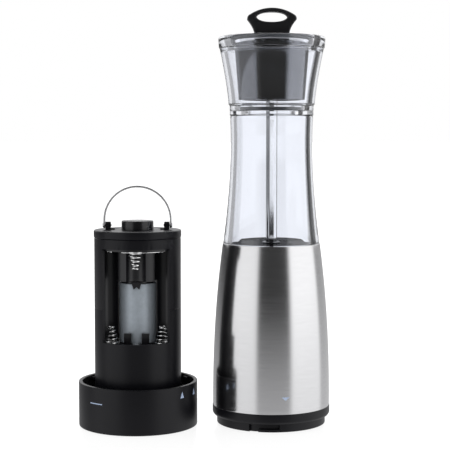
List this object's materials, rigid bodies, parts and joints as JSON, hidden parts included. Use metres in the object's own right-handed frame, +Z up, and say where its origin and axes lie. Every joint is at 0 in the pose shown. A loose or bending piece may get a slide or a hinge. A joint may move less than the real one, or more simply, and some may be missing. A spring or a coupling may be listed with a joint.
{
  "type": "battery pepper mill",
  "caption": "Tall battery pepper mill taken apart for loading: steel and clear body on its bayonet spigot, with a bailed motor and cell module standing in the base cup.",
  "frame": {"origin": "centre of the base cup's underside, where it rests on the table", "axes": "+Z up along the base cup, module and mill axes; +X from the base cup towards the mill; +Y away from the viewer"},
  "size_m": [0.1405, 0.0745, 0.2317],
  "materials": {
    "black_plastic": "satin moulded black, fine mould grain",
    "module_plastic": "satin moulded black",
    "button_plastic": "semi-gloss moulded black",
    "handle_plastic": "satin moulded black",
    "inner_plastic": "plain moulded black",
    "gloss_black": "polished black",
    "gunmetal_plastic": "gloss dark gunmetal grey",
    "clear_plastic": "clear acrylic, thick walls, faint blue",
    "brushed_shell": "stainless steel brushed round the body",
    "rod_steel": "polished stainless rod",
    "bail_steel": "bright strip steel",
    "spring_steel": "nickel-plated spring wire",
    "contact_nickel": "nickel-plated strip",
    "motor_zinc": "satin zinc-plated can, slight mottling",
    "rotor_copper": "copper winding",
    "gear_steel": "machined steel",
    "screw_steel": "zinc-plated screw",
    "dark_screw": "blackened screw",
    "bush_brass": "sintered bronze",
    "nylon": "natural nylon",
    "burr_ceramic": "unglazed white ceramic",
    "seal_rubber": "black seal rubber",
    "seal_grey": "grey translucent silicone",
    "pad_rubber": "matt black pad",
    "mark_ink": "pale blue-white printed mark"
  },
  "bodies": {
    "base": {"base_cup": "black_plastic", "base_foot": "pad_rubber", "lock_marks": "mark_ink"},
    "mill_body": {"bayonet_ring": "black_plastic", "steel_shell": "brushed_shell", "body_sleeve": "inner_plastic", "sleeve_screws": "screw_steel", "align_mark": "mark_ink", "chamber_floor": "gloss_black", "floor_bush": "inner_plastic", "floor_seal": "seal_rubber", "dog_retainer": "nylon", "pepper_jar": "clear_plastic", "jar_collar": "clear_plastic", "neck_seal": "seal_grey"},
    "dog": {"drive_dog": "nylon"},
    "grinder_head": {"hopper": "clear_plastic", "burr_housing": "gunmetal_plastic", "shaft_spider": "inner_plastic", "spider_bush": "bush_brass", "housing_screws": "screw_steel"},
    "adjuster": {"adjuster_ring": "gunmetal_plastic"},
    "stator": {"burr_ring": "burr_ceramic"},
    "grind_shaft": {"drive_rod": "rod_steel", "burr_cone": "burr_ceramic", "burr_spring": "spring_steel", "burr_nut": "screw_steel"},
    "lid": {"lid_cap": "clear_plastic", "lid_handle": "handle_plastic", "lid_screws": "screw_steel", "lid_seal": "seal_grey"},
    "module": {"module_lower_shell": "module_plastic", "module_upper_shell": "module_plastic", "module_cover": "module_plastic", "cover_screws": "dark_screw", "cell_carrier": "inner_plastic", "contact_springs": "spring_steel", "contact_plates": "contact_nickel", "motor_can": "motor_zinc", "motor_endcap": "inner_plastic", "motor_screws": "screw_steel", "gearbox_plate": "nylon", "ring_gear": "nylon", "gearbox_cover": "nylon", "gearbox_screws": "screw_steel", "output_bush": "bush_brass", "micro_switch": "inner_plastic", "button_spring": "spring_steel"},
    "rotor": {"motor_rotor": "rotor_copper", "sun_gear": "gear_steel"},
    "carrier": {"planet_carrier": "gear_steel", "planet_pins": "gear_steel"},
    "planet_1": {"planet_a": "nylon"},
    "planet_2": {"planet_b": "nylon"},
    "planet_3": {"planet_c": "nylon"},
    "button": {"switch_button": "button_plastic"},
    "bail_swing_part": {"bail": "bail_steel", "bail_pins": "bail_steel"}
  },
  "joints": [
    {"name": "mill_lift", "type": "slide", "parent": "base", "child": "mill_body", "axis": [0, 0, 1], "range_m": [0, 0.15]},
    {"name": "head_lift", "type": "slide", "parent": "mill_body", "child": "grinder_head", "axis": [0, 0, 1], "range_m": [0, 0.11]},
    {"name": "lid_lift", "type": "slide", "parent": "grinder_head", "child": "lid", "axis": [0, 0, 1], "range_m": [0, 0.04]},
    {"name": "dog_spin", "type": "hinge", "parent": "mill_body", "child": "dog", "pos_m": [0.0745, 0.0085, 0.087], "axis": [0, 0, 1], "continuous": true},
    {"name": "grind_spin", "type": "hinge", "parent": "grinder_head", "child": "grind_shaft", "pos_m": [0.0745, 0.0085, 0.15], "axis": [0, 0, 1], "continuous": true},
    {"name": "grind_adjust", "type": "hinge", "parent": "grinder_head", "child": "adjuster", "pos_m": [0.0745, 0.0085, 0.21], "axis": [0, 0, 1], "range_deg": [-90, 90]},
    {"name": "stator_rise", "type": "slide", "parent": "grinder_head", "child": "stator", "axis": [0, 0, 1], "range_m": [-0.0004, 0.0004]},
    {"name": "module_lift", "type": "slide", "parent": "base", "child": "module", "axis": [0, 0, 1], "range_m": [0, 0.12]},
    {"name": "motor_spin", "type": "hinge", "parent": "module", "child": "rotor", "pos_m": [0, 0, 0.05], "axis": [0, 0, 1], "continuous": true},
    {"name": "carrier_spin", "type": "hinge", "parent": "module", "child": "carrier", "pos_m": [0, 0, 0.02], "axis": [0, 0, 1], "continuous": true},
    {"name": "planet_1_spin", "type": "hinge", "parent": "carrier", "child": "planet_1", "pos_m": [0.009, 0, 0.033], "axis": [0, 0, 1], "continuous": true},
    {"name": "planet_2_spin", "type": "hinge", "parent": "carrier", "child": "planet_2", "pos_m": [-0.0045, 0.00779, 0.033], "axis": [0, 0, 1], "continuous": true},
    {"name": "planet_3_spin", "type": "hinge", "parent": "carrier", "child": "planet_3", "pos_m": [-0.0045, -0.00779, 0.033], "axis": [0, 0, 1], "continuous": true},
    {"name": "button_press", "type": "slide", "parent": "module", "child": "button", "axis": [0, 0, 1], "range_m": [-0.0015, 0], "stiffness_N_per_m": 400, "deforming": ["button_spring"]},
    {"name": "bail_swing", "type": "hinge", "parent": "module", "child": "bail_swing_part", "pos_m": [0, 0, 0.1117], "axis": [1, 0, 0], "range_deg": [-85, 85]}
  ],
  "couplings": [
    {"joint": "grind_spin", "follows": "dog_spin", "ratio": 1},
    {"joint": "stator_rise", "follows": "grind_adjust", "m_per_rad": 0.00025465},
    {"joint": "carrier_spin", "follows": "motor_spin", "ratio": 0.2},
    {"joint": "planet_1_spin", "follows": "motor_spin", "ratio": -0.53333},
    {"joint": "planet_2_spin", "follows": "motor_spin", "ratio": -0.53333},
    {"joint": "planet_3_spin", "follows": "motor_spin", "ratio": -0.53333}
  ]
}
